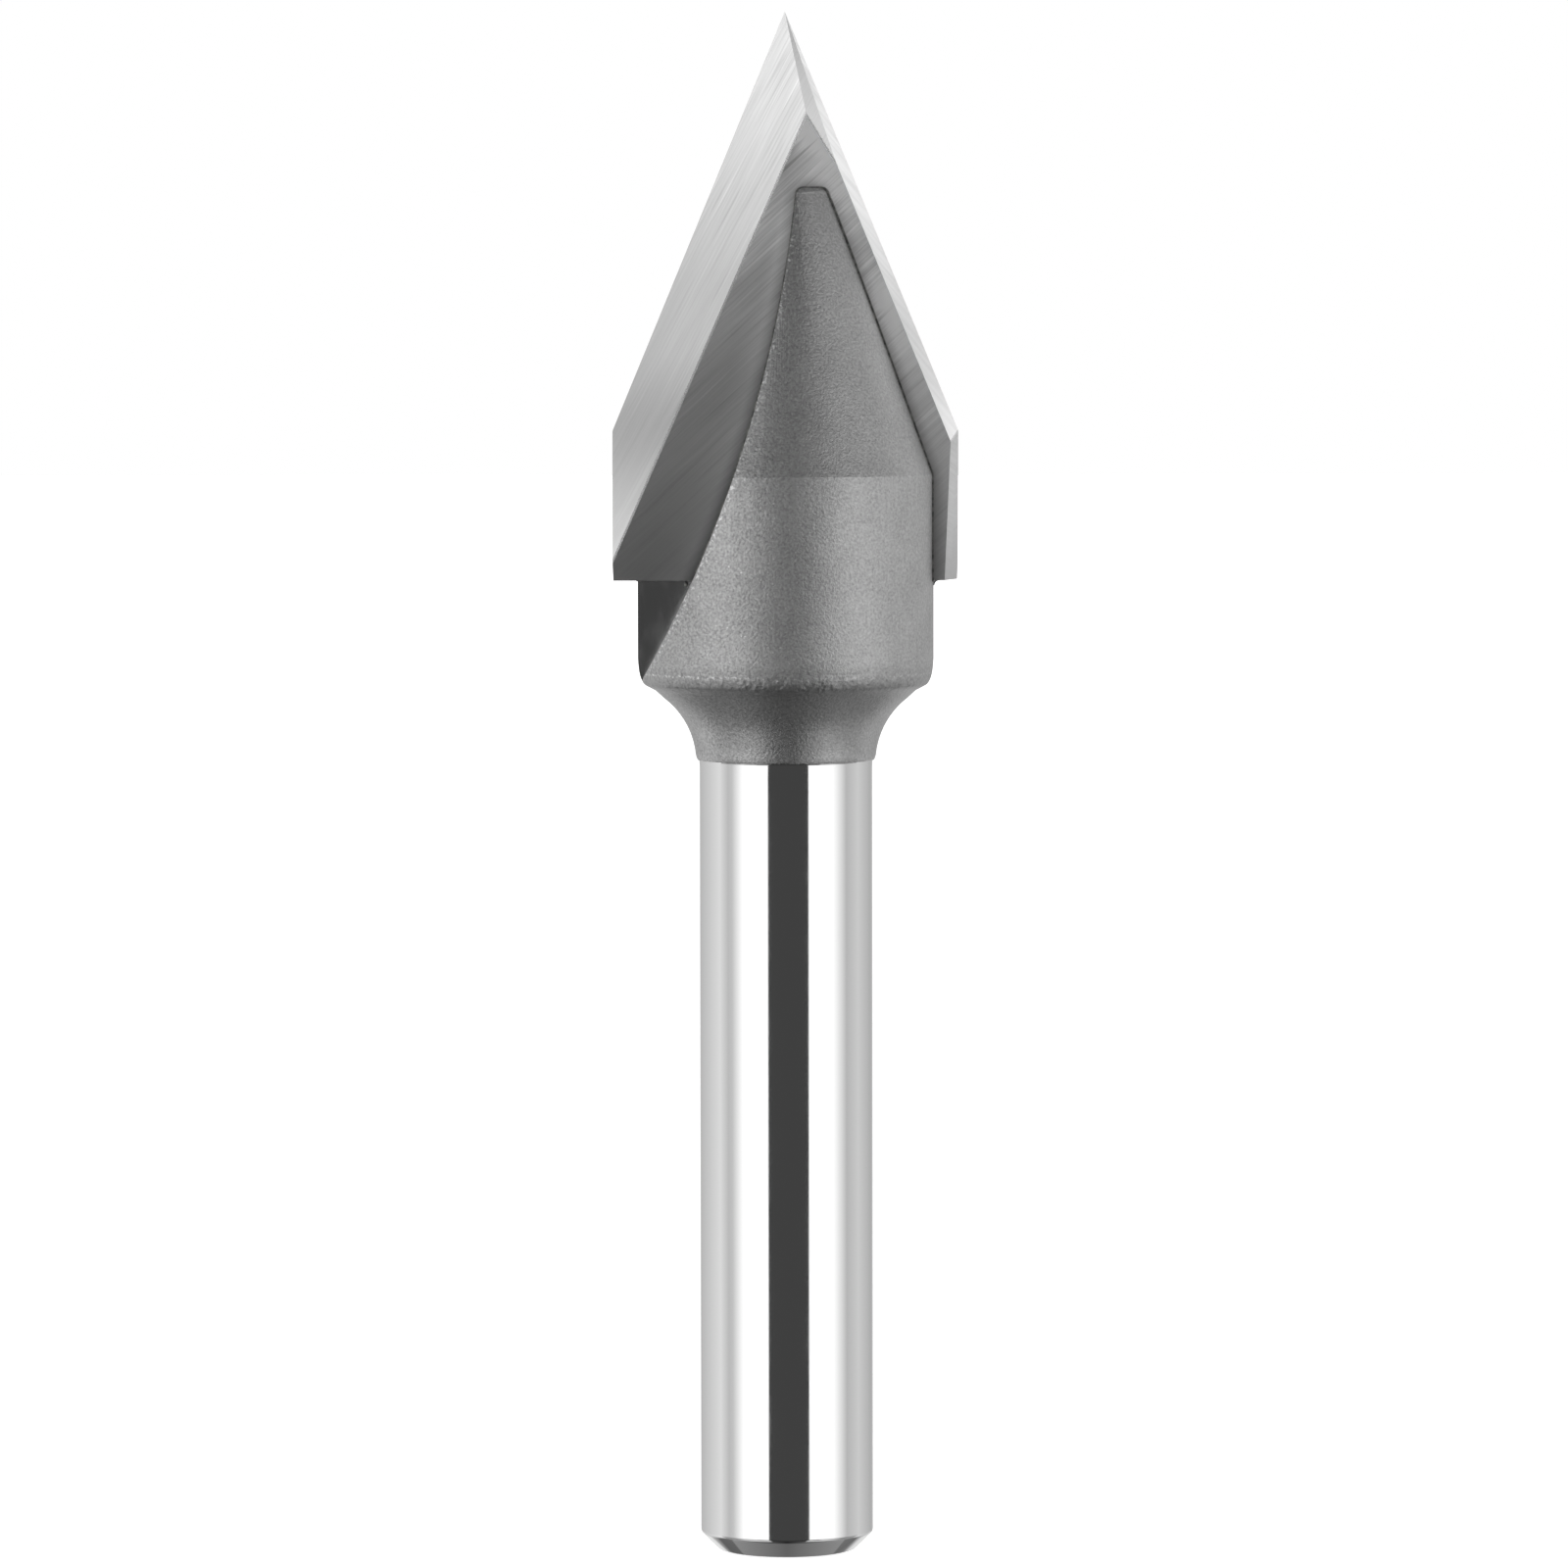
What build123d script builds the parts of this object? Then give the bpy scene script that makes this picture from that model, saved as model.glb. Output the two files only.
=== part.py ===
from build123d import *
import math
import os

# V-groove router bit: one turned steel body with one carbide plate brazed into a slot across its head.
# Millimetres. The bit stands on the end of its shank, with the shank's axis on Z and the point up.
# The plate lies in the XZ plane. Seen from -Y, its left side carries the cutting edge that faces the
# viewer, and a half turn about Z gives the other side.

# Shank, ground to the size of a quarter inch collet
shank_diameter = 6.35
shank_length = 28.75
end_chamfer = 0.7
end_edge_round = 0.2
grinding_runout = 0.35

# Neck, one turned arc between the shank and the underside of the head
neck_diameter = 6.61
neck_arc_radius = 3.0

# Head: a short cylinder, then a cone that is cut off flat
head_diameter = 10.88
head_straight = 7.7
cone_half_angle = 19.7
cone_height = 10.5
nose_round = 0.25
rim_round = 0.68

# Chip gullets, cut by the side and rim of a grinding wheel whose axis lies along Y
wheel_radius = 45.0
wheel_above_nose = 4.65
gullet_past_axis = 0.67
gullet_wall_offset = 0.0

# Carbide plate
cutting_diameter = 12.7
v_angle = 45.0
straight_edge = 5.48
plate_thickness = 1.6
foot_above_rim = 3.85

# Grinding of the plate's edges, in degrees apart from the drift
rake_bevel_angle = 19.8
edge_drift = 0.11
v_relief_angle = 25.0
straight_relief_angle = 17.0
tip_facet_turn = 31.6
tip_facet_slope = 31.5

# Braze
braze_gap = 0.05
braze_bead = 0.3
braze_bead_lip = 0.03

shank_radius = shank_diameter / 2
neck_radius = neck_diameter / 2
head_radius = head_diameter / 2
cutting_radius = cutting_diameter / 2

# Levels above the end of the shank
neck_z = shank_length + grinding_runout
neck_arc_centre_r = neck_radius + neck_arc_radius
rim_z = neck_z + math.sqrt(neck_arc_radius**2 - (neck_arc_centre_r - head_radius)**2)
shoulder_z = rim_z + head_straight
nose_z = shoulder_z + cone_height
nose_radius = head_radius - cone_height * math.tan(math.radians(cone_half_angle))
foot_z = rim_z + foot_above_rim
corner_z = foot_z + straight_edge
tip_z = corner_z + cutting_radius / math.tan(math.radians(v_angle / 2))

right = Vector(1, 0, 0)
back = Vector(0, 1, 0)
front = Vector(0, -1, 0)

# How far the cutters stand out beyond what they cut
past = 2.0


def half_turn(shape):
    return shape.rotate(Axis.Z, 180)


def in_face(degrees_from_down):
    # Direction in the plate's face, turned from straight down towards +X
    turn = math.radians(degrees_from_down)
    return Vector(math.sin(turn), 0, -math.cos(turn))


def leaning(start, towards, degrees):
    # The start direction, leaning over by an angle
    turn = math.radians(degrees)
    return start * math.cos(turn) + towards * math.sin(turn)


def cut_away(plate, point, along, across, outside):
    # Grinds off what lies beyond the plane through a point and two directions
    normal = along.cross(across)
    if normal.dot(outside) < 0:
        normal = normal * -1
    return split(plate, bisect_by=Plane(origin=point, z_dir=normal), keep=Keep.BOTTOM)


def turned_stock():
    # Half section on the XZ plane, from the shank end up to the nose and back down the axis
    end_radius = shank_radius - end_chamfer
    neck_arc_middle = math.radians(45)
    arc_middle = (
        neck_arc_centre_r - neck_arc_radius * math.cos(neck_arc_middle),
        neck_z + neck_arc_radius * math.sin(neck_arc_middle),
    )
    arc_end = (head_radius, rim_z)
    lower = Polyline(
        (0, 0),
        (end_radius, 0),
        (shank_radius, end_chamfer),
        (shank_radius, shank_length),
        (neck_radius, neck_z),
    )
    neck = ThreePointArc((neck_radius, neck_z), arc_middle, arc_end)
    upper = Polyline(arc_end, (head_radius, shoulder_z), (nose_radius, nose_z), (0, nose_z), (0, 0))
    section = make_face(Plane.XZ * (lower + neck + upper)).face()
    return revolve(rounded_corners(section), Axis.Z)


def rounded_corners(section):
    # Breaks the turned edges: both edges of the end chamfer, the head's lower rim and the nose
    corners = (
        (shank_radius - end_chamfer, 0, end_edge_round),
        (shank_radius, end_chamfer, end_edge_round),
        (head_radius, rim_z, rim_round),
        (nose_radius, nose_z, nose_round),
    )
    for radius, height, round_radius in corners:
        corner = section.vertices().sort_by_distance((radius, 0, height))[0]
        section = section.fillet_2d(round_radius, [corner])
    return section


def gullet():
    # The space swept by the wheel in front of the left half of the plate
    wall_y = gullet_wall_offset
    reach = head_radius + past
    wheel = Cylinder(wheel_radius, reach + wall_y, rotation=(90, 0, 0))
    middle_y = (wall_y - reach) / 2
    return Pos(gullet_past_axis - wheel_radius, middle_y, nose_z + wheel_above_nose) * wheel


def slot():
    width = plate_thickness + 2 * braze_gap
    floor_z = foot_z - braze_gap
    height = nose_z + past - floor_z
    return Pos(0, 0, floor_z + height / 2) * Box(head_diameter + 2 * past, width, height)


def head_before_slot():
    one_gullet = gullet()
    return turned_stock() - one_gullet - half_turn(one_gullet)


def steel_body(stock):
    return stock - slot()


def ground_plate_side(plate):
    # The four grinds that face -Y: the rake bevel and both reliefs of the left cutting edge, and
    # the clearance facet right of the point
    tip = Vector(0, 0, tip_z)
    corner = Vector(-cutting_radius, -edge_drift, corner_z)
    edge = (corner - tip).normalized()
    inward = front.cross(edge)

    rake_slope = leaning(inward, front, rake_bevel_angle)
    plate = cut_away(plate, tip, edge, rake_slope, front)

    v_relief = leaning(back, inward, v_relief_angle)
    plate = cut_away(plate, tip, edge, v_relief, inward * -1)

    straight = edge.cross(rake_slope).cross(right)
    straight_relief = leaning(back, right, straight_relief_angle)
    plate = cut_away(plate, corner, straight, straight_relief, right * -1)

    facet_foot = in_face(tip_facet_turn)
    facet_across = leaning(in_face(tip_facet_turn - 90), front, tip_facet_slope)
    return cut_away(plate, tip, facet_foot, facet_across, right)


def carbide_blade():
    height = tip_z - foot_z
    plate = Pos(0, 0, foot_z + height / 2) * Box(cutting_diameter, plate_thickness, height)
    plate = ground_plate_side(plate)
    plate = half_turn(ground_plate_side(half_turn(plate)))
    return plate


def braze_end_bead():
    # Hollow bead in the corner between the underside of the plate and the side of the head
    inner = head_radius
    hollow_middle = braze_bead - (braze_bead - braze_bead_lip) * math.sin(math.radians(45))
    outline = Polyline(
        (inner + braze_bead_lip, foot_z - braze_bead),
        (inner, foot_z - braze_bead),
        (inner, foot_z),
        (inner + braze_bead, foot_z),
        (inner + braze_bead, foot_z - braze_bead_lip),
    )
    hollow = ThreePointArc(
        (inner + braze_bead, foot_z - braze_bead_lip),
        (inner + hollow_middle, foot_z - hollow_middle),
        (inner + braze_bead_lip, foot_z - braze_bead),
    )
    ring = revolve(make_face(Plane.XZ * (outline + hollow)), Axis.Z)
    depth = plate_thickness / 2 + gullet_wall_offset
    width = head_radius + past
    keep = Pos(width / 2, gullet_wall_offset - depth / 2, foot_z) * Box(width, depth, 2 * past)
    return ring & keep


def braze(stock, blade):
    # Fills the slot round the plate, out to the turned and milled surfaces, with the one bead that
    # shows, under the right end of the plate
    return (stock & slot()) - blade + braze_end_bead()


def main():
    stock = head_before_slot()
    blade = carbide_blade()
    nodes = {
        "steel_body": steel_body(stock),
        "carbide_blade": blade,
        "braze": braze(stock, blade),
    }
    os.makedirs("parts", exist_ok=True)
    for name, shape in nodes.items():
        export_step(shape, f"parts/{name}.step")
        print(name, "solids", len(shape.solids()), "volume", round(shape.volume, 3))
    print("overall length", round(tip_z, 3))


main()
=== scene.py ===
import math

import bmesh
import bpy
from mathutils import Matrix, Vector


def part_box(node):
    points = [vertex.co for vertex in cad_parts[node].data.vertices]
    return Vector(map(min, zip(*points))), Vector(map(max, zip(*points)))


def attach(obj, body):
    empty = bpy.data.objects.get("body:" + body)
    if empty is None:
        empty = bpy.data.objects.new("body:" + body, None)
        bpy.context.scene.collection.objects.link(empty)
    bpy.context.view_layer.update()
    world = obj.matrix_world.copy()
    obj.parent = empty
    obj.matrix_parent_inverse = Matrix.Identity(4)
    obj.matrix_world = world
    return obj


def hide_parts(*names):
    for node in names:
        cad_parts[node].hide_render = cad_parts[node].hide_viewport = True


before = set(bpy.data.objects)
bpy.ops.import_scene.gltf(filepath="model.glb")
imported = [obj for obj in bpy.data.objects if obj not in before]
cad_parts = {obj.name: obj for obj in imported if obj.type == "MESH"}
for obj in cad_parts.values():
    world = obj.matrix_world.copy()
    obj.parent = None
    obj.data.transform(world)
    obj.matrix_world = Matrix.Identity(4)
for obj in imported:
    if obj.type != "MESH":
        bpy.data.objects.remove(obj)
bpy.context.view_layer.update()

mm = 0.001

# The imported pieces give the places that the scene's pieces keep
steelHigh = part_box("steel_body")[1]
plateLow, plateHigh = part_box("carbide_blade")
headRadius = steelHigh.x / mm
noseTop = steelHigh.z / mm
cuttingRadius = plateHigh.x / mm
halfPlate = plateHigh.y / mm
plateFoot = plateLow.z / mm
plateTip = plateHigh.z / mm


# Small tools for the bench

def startClean():
    if bpy.context.object and bpy.context.object.mode != "OBJECT":
        bpy.ops.object.mode_set(mode="OBJECT")
    bpy.ops.object.select_all(action="DESELECT")


def makeActive(piece):
    startClean()
    piece.select_set(True)
    bpy.context.view_layer.objects.active = piece


def editWhole():
    bpy.ops.object.mode_set(mode="EDIT")
    bpy.ops.mesh.select_all(action="SELECT")


def turnHalfRound():
    bpy.ops.mesh.select_all(action="SELECT")
    bpy.ops.transform.rotate(value=math.pi, orient_axis="Z", center_override=(0, 0, 0))


def addBlock(middle, sides):
    # A box from its middle and its three sides in mm
    startClean()
    bpy.ops.mesh.primitive_cube_add(size=1.0, location=[place * mm for place in middle])
    block = bpy.context.object
    block.scale = [side * mm for side in sides]
    bpy.ops.object.transform_apply(location=True, rotation=True, scale=True)
    return block


def selectEdges(piece, test):
    # In edit mode, selects the edges that pass the test and nothing else
    bpy.ops.mesh.select_mode(type="EDGE")
    bpy.ops.mesh.select_all(action="DESELECT")
    work = bmesh.from_edit_mesh(piece.data)
    for edge in work.edges:
        if test(edge):
            edge.select_set(True)
    bmesh.update_edit_mesh(piece.data)


def cutWith(piece, cutter, operation="DIFFERENCE"):
    # Boolean with a cutter that is thrown away afterwards
    makeActive(piece)
    cut = piece.modifiers.new("cut", "BOOLEAN")
    cut.operation = operation
    cut.solver = "EXACT"
    cut.object = cutter
    bpy.ops.object.modifier_apply(modifier=cut.name)
    bpy.data.objects.remove(cutter)


def settle(piece, smoothDegrees=34):
    # Leaves the object at the origin with its place in its mesh. The shading follows the large faces,
    # so that a long straight surface mirrors as straight up to its rounded edges.
    makeActive(piece)
    bpy.ops.object.transform_apply(location=True, rotation=True, scale=True)
    bpy.ops.object.shade_smooth_by_angle(angle=math.radians(smoothDegrees))
    straight = piece.modifiers.new("straight", "WEIGHTED_NORMAL")
    straight.keep_sharp = True
    straight.weight = 100
    bpy.ops.object.modifier_apply(modifier=straight.name)


def roundedCorner(before, corner, after, radius, steps):
    # Points of the small arc that rounds a corner of the profile
    point = Vector(corner)
    toBefore = (Vector(before) - point).normalized()
    toAfter = (Vector(after) - point).normalized()
    half = toBefore.angle(toAfter) / 2
    reach = radius / math.tan(half)
    centre = point + (toBefore + toAfter).normalized() * (radius / math.sin(half))
    first = point + toBefore * reach - centre
    last = point + toAfter * reach - centre
    turn = first.angle_signed(last)
    points = []
    for step in range(steps + 1):
        angle = -turn * step / steps
        cosine, sine = math.cos(angle), math.sin(angle)
        points.append((
            centre.x + first.x * cosine - first.y * sine,
            centre.y + first.x * sine + first.y * cosine,
        ))
    return points


# Material tools

def toLinear(hexColour):
    # One sRGB hex value as the linear colour that a shader socket takes
    channels = []
    for start in (1, 3, 5):
        value = int(hexColour[start:start + 2], 16) / 255
        if value <= 0.04045:
            channels.append(value / 12.92)
        else:
            channels.append(((value + 0.055) / 1.055) ** 2.4)
    return (*channels, 1.0)


def newMaterial(name):
    material = bpy.data.materials.new(name)
    material.use_nodes = True
    material.node_tree.nodes.clear()
    return material, material.node_tree


def addNode(tree, kind, inputs=None, **settings):
    # A node with its settings and inputs. A socket is linked, and so is a node, which stands for its
    # first output. Anything else becomes the input's value.
    node = tree.nodes.new("ShaderNode" + kind)
    for name, value in settings.items():
        setattr(node, name, value)
    for socket, source in (inputs or {}).items():
        if isinstance(source, bpy.types.Node):
            source = source.outputs[0]
        if isinstance(source, bpy.types.NodeSocket):
            tree.links.new(source, node.inputs[socket])
        else:
            node.inputs[socket].default_value = source
    return node


def spanOf(value, start, end, low=0.0, high=1.0):
    # The inputs of a range that passes from low to high while the value goes from start to end
    return {"Value": value, "From Min": start, "From Max": end, "To Min": low, "To Max": high}


def toneRamp(tree, place, stops):
    # Grey tones that pass into each other along a 0 to 1 place
    ramp = addNode(tree, "ValToRGB", {"Fac": place})
    ramp.color_ramp.interpolation = "CARDINAL"
    elements = ramp.color_ramp.elements
    while len(elements) < len(stops):
        elements.new(0.5)
    for element, (share, tone) in zip(elements, stops):
        element.position = share
        element.color = toLinear(tone)
    return ramp


def facedAcross(tree, split):
    # X counted to the left by whoever looks at a face, so that the back is the half turn of the front
    side = addNode(tree, "Math", {0: split.outputs["Y"]}, operation="SIGN")
    return addNode(tree, "Math", {0: split.outputs["X"], 1: side}, operation="MULTIPLY")


# The painted corner shade is darkest where no more than the first share of the sky is open, and gone at
# the second
cornerShadeSetup = {"openShare": (0.5, 1.0), "samples": 16}


def paintedCornerShade(tree, share, reach, darkest):
    # Painted shade: dark and soft in corners and along the seam where plate and steel meet, where nearby
    # surfaces close off the sky
    near = addNode(tree, "AmbientOcclusion", {"Distance": reach * mm}, samples=cornerShadeSetup["samples"])
    cornerShade = addNode(tree, "MapRange", spanOf(near.outputs["AO"], *cornerShadeSetup["openShare"], darkest, 1.0))
    return addNode(tree, "Math", {0: share, 1: cornerShade}, operation="MULTIPLY")


# Camera at the photograph's place, a little above the middle of the bit and looking slightly down
cameraSetup = {
    "distance": 300.0,
    "sideways": -0.045,
    "height": 45.6,
    "pitchDegrees": 3.3,
    "rollDegrees": 0.09,
    "pixelsPerUnitAngle": 8328.8,
    "photoPixels": 1600,
    "sensorWidth": 36.0,
    "nearest": 10.0,
    "farthest": 10000.0,
}


def addCamera():
    startClean()
    setup = cameraSetup
    place = (setup["sideways"] * mm, -setup["distance"] * mm, setup["height"] * mm)
    tilt = math.radians(90 - setup["pitchDegrees"])
    roll = math.radians(setup["rollDegrees"])
    bpy.ops.object.camera_add(location=place, rotation=(tilt, roll, 0))
    camera = bpy.context.object
    camera.name = "photoCamera"
    camera.data.sensor_width = setup["sensorWidth"]
    camera.data.lens = setup["sensorWidth"] * setup["pixelsPerUnitAngle"] / setup["photoPixels"]
    camera.data.clip_start = setup["nearest"] * mm
    camera.data.clip_end = setup["farthest"] * mm
    bpy.context.scene.camera = camera


# Studio: upright cloths and soft boxes stand in a ring round the bit. The camera doesn't see them.
studio = {
    "ringRadius": 600.0,
    "ringFoot": -620.0,
    "ringTop": 420.0,
    "deepZone": (-420.0, -300.0),
    "lowZone": (-150.0, -115.0),
    "highZone": (75.0, 120.0),
    "ceilingHeight": 430.0,
    "ceilingBrightness": 0.2,
    "groundDepth": -620.0,
    "groundFront": (0.03, 0.36),
    "groundBack": (0.19, 0.52),
    "floorSize": 4000.0,
    "floorColour": "#FAFAFA",
    "floorGlow": 0.68,
    "diffuseWorld": 0.9,
}
# Each cloth spans a range of degrees round the bit, counted from the camera, with the brightness at
# both of its ends, and then the share of it that is left in the deep, the low and the high zone
cloths = {
    "frontCloth": (-24.1, 29.9, 0.08, 0.08, 0.4, 0.75, 1.0),
    "leftBoxInner": (-41.0, -24.1, 1.7, 1.7, 0.75, 0.18, 1.0),
    "leftBox": (-59.5, -41.0, 1.7, 1.7, 0.75, 0.34, 1.0),
    "leftBoxEdge": (-77.0, -59.5, 0.85, 1.68, 0.7, 0.5, 1.0),
    "leftBoxFrame": (-84.0, -77.0, 0.78, 0.85, 0.6, 0.6, 1.0),
    "leftScreen": (-100.0, -84.0, 1.12, 0.78, 0.5, 0.5, 1.0),
    "leftWall": (-160.0, -100.0, 0.6, 1.12, 0.245, 1.15, 1.0),
    "backWall": (-208.0, -160.0, 0.57, 0.6, 0.42, 1.6, 1.0),
    "rightWall": (112.0, 152.0, 0.93, 0.57, 0.35, 1.15, 1.7),
    "rightScreen": (88.0, 112.0, 0.74, 0.93, 0.5, 0.55, 1.0),
    "rightBoxEdge": (64.0, 88.0, 1.7, 0.74, 0.7, 0.45, 1.0),
    "rightBox": (47.0, 64.0, 1.7, 1.7, 0.75, 0.36, 1.0),
    "rightBoxInner": (29.9, 47.0, 1.7, 1.7, 0.75, 0.1, 1.0),
}


def ringPlace(degrees, height):
    turn = math.radians(degrees)
    radius = studio["ringRadius"] * mm
    return Vector((math.sin(turn) * radius, -math.cos(turn) * radius, height * mm))


def upTheCloth(height):
    # A height as a share of the cloth, from its foot to its top
    return (height - studio["ringFoot"]) / (studio["ringTop"] - studio["ringFoot"])


def glowMaterial(name, startBrightness, endBrightness, deepShare=1.0, lowShare=1.0, highShare=1.0):
    # Evenly lit cloth, which gives the metal a plain soft band to mirror
    material, tree = newMaterial(name)
    uv = addNode(tree, "UVMap")
    split = addNode(tree, "SeparateXYZ", {"Vector": uv})
    strength = addNode(tree, "MapRange", spanOf(
        split.outputs["X"], 0.0, 1.0, startBrightness, endBrightness,
    ))
    zones = (
        ("deepZone", deepShare / lowShare, 1.0),
        ("lowZone", lowShare, 1.0),
        ("highZone", 1.0, highShare),
    )
    for zone, below, above in zones:
        foot, top = studio[zone]
        share = addNode(tree, "MapRange", spanOf(
            split.outputs["Y"], upTheCloth(foot), upTheCloth(top), below, above,
        ))
        strength = addNode(tree, "Math", {0: strength, 1: share}, operation="MULTIPLY")
    glow = addNode(tree, "Emission", {"Strength": strength})
    addNode(tree, "OutputMaterial", {"Surface": glow})
    return material


def hangGlow(piece, name, glow):
    piece.name = name
    piece.data.materials.append(glowMaterial(name + "Glow", *glow))
    piece.visible_camera = False


def addCloth(name, startDegrees, endDegrees, *glow):
    startClean()
    bpy.ops.mesh.primitive_plane_add(size=1.0)
    cloth = bpy.context.object
    corners = (
        ringPlace(startDegrees, studio["ringFoot"]),
        ringPlace(endDegrees, studio["ringFoot"]),
        ringPlace(startDegrees, studio["ringTop"]),
        ringPlace(endDegrees, studio["ringTop"]),
    )
    for vertex, corner in zip(cloth.data.vertices, corners):
        vertex.co = corner
    hangGlow(cloth, name, glow)


def addSheet(name, height, across, deep, *glow):
    # Level sheet over or under the bit. It spans a range across the view and a range away from the
    # camera, with the brightness at its left and its right edge.
    startClean()
    bpy.ops.mesh.primitive_plane_add(
        size=1.0, location=(sum(across) / 2 * mm, sum(deep) / 2 * mm, height * mm),
    )
    sheet = bpy.context.object
    sheet.scale = ((across[1] - across[0]) * mm, (deep[1] - deep[0]) * mm, 1)
    bpy.ops.object.transform_apply(location=True, rotation=True, scale=True)
    hangGlow(sheet, name, glow)


def addFloor():
    # White paper. A little glow that only the camera sees lifts it to plain white, and the bit's
    # faint shadow stays where the shank stands on it.
    startClean()
    bpy.ops.mesh.primitive_plane_add(size=studio["floorSize"] * mm)
    floor = bpy.context.object
    floor.name = "paperFloor"
    material, tree = newMaterial("whitePaper")
    rays = addNode(tree, "LightPath")
    share = addNode(tree, "Math", {
        0: rays.outputs["Is Camera Ray"], 1: studio["floorGlow"],
    }, operation="MULTIPLY")
    paper = addNode(tree, "BsdfDiffuse", {"Color": toLinear(studio["floorColour"])})
    white = addNode(tree, "Emission", {"Strength": share})
    both = addNode(tree, "AddShader", {0: paper, 1: white})
    addNode(tree, "OutputMaterial", {"Surface": both})
    floor.data.materials.append(material)
    floor.visible_glossy = False
    floor.visible_shadow = False


def setWorld():
    # White where the camera and the metal look, and a plain grey for what lights the floor
    world = bpy.data.worlds.new("studioWorld")
    bpy.context.scene.world = world
    world.use_nodes = True
    tree = world.node_tree
    tree.nodes.clear()
    rays = addNode(tree, "LightPath")
    seen = addNode(tree, "Math", {
        0: rays.outputs["Is Camera Ray"], 1: rays.outputs["Is Glossy Ray"],
    }, operation="ADD")
    seenAll = addNode(tree, "Math", {
        0: seen, 1: rays.outputs["Is Transmission Ray"],
    }, operation="ADD", use_clamp=True)
    brightness = addNode(tree, "MapRange", spanOf(seenAll, 0.0, 1.0, studio["diffuseWorld"], 1.0))
    sky = addNode(tree, "Background", {"Color": toLinear("#FFFFFF"), "Strength": brightness})
    addNode(tree, "OutputWorld", {"Surface": sky})


addCamera()
addFloor()
setWorld()
for name, span in cloths.items():
    addCloth(name, *span)
ringEdge = studio["ringRadius"]
whole, firstHalf, lastHalf = (-ringEdge, ringEdge), (-ringEdge, 0), (0, ringEdge)
ceilingGlow = studio["ceilingBrightness"]
addSheet("ceiling", studio["ceilingHeight"], whole, whole, ceilingGlow, ceilingGlow)
for name, deep in (("groundFront", firstHalf), ("groundBack", lastHalf)):
    middleGlow, edgeGlow = studio[name]
    addSheet(name + "Left", studio["groundDepth"], firstHalf, deep, edgeGlow, middleGlow)
    addSheet(name + "Right", studio["groundDepth"], lastHalf, deep, middleGlow, edgeGlow)
bpy.context.scene.view_settings.view_transform = "Standard"
print("camera and studio ready")


# Tool steel body: turned, then blasted above the shank, with the shank and the gullets ground

# A round is its radius and the number of its steps, and a point of the profile its radius and height
bodySizes = {
    "ringSteps": 256,
    "endRadius": 2.51,
    "chamferTop": 0.66,
    "chamferRound": (0.2, 5),
    "shankRadius": 3.175,
    "runoutFoot": 28.975,
    "runoutFootRound": (4.0, 4),
    "runoutTop": (3.195, 29.21),
    "ledge": (3.2525, 29.215),
    "neckCorner": (3.31, 29.355),
    "neckCornerRound": (0.7, 5),
    "neckRadius": 3.305,
    "neckLevel": 29.1,
    "neckArc": 3.0,
    "neckSteps": 28,
    "neckFoot": 29.48,
    "neckEnd": 31.464,
    "rimPoints": (
        (4.79, 31.765), (5.17, 31.968), (5.215, 32.008), (5.25, 32.055), (5.285, 32.115), (5.32, 32.19),
        (5.345, 32.26), (5.369, 32.347), (5.395, 32.47), (5.415, 32.636), (5.429, 32.8), (5.438, 32.95),
    ),
    "rimTop": 32.42,
    "underRim": 32.03,
    "coneHeight": 10.5,
    "coneDegrees": 19.7,
    "shoulderRound": (0.15, 3),
    "noseRound": (0.28, 7),
    "noseCornerRound": (0.3, 48),
    "blastEdge": 29.22,
    "cutEdgeBreak": 0.025,
    "sharpDegrees": 35,
    "weldReach": 0.012,
}
gulletSizes = {
    "wheelRadius": 46.2,
    "wheelAboveNose": 4.65,
    "pastAxis": 0.67,
    "wheelSteps": 1440,
    "wallRoughness": 0.12,
    "floorRoughness": 0.4,
    "smearsPerMm": (1.4, 1.4, 0.5),
    "smearTurn": 0.35,
    "smearTones": ((0.5, "#CBCBCB"), (0.72, "#EEEEEE")),
    "nickGap": 0.16,
    "nickRoughness": 0.45,
    "nickTones": ((0.45, "#7A7A7A"), (0.58, "#BCBCBC"), (0.66, "#FAFAFA")),
    "onCut": 0.01,
}
past = 2.0    # How far a cutter stands out beyond what it cuts
shoulderLevel = noseTop - bodySizes["coneHeight"]
wheelCentre = gulletSizes["pastAxis"] - gulletSizes["wheelRadius"]
wheelHeight = noseTop + gulletSizes["wheelAboveNose"]


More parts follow.
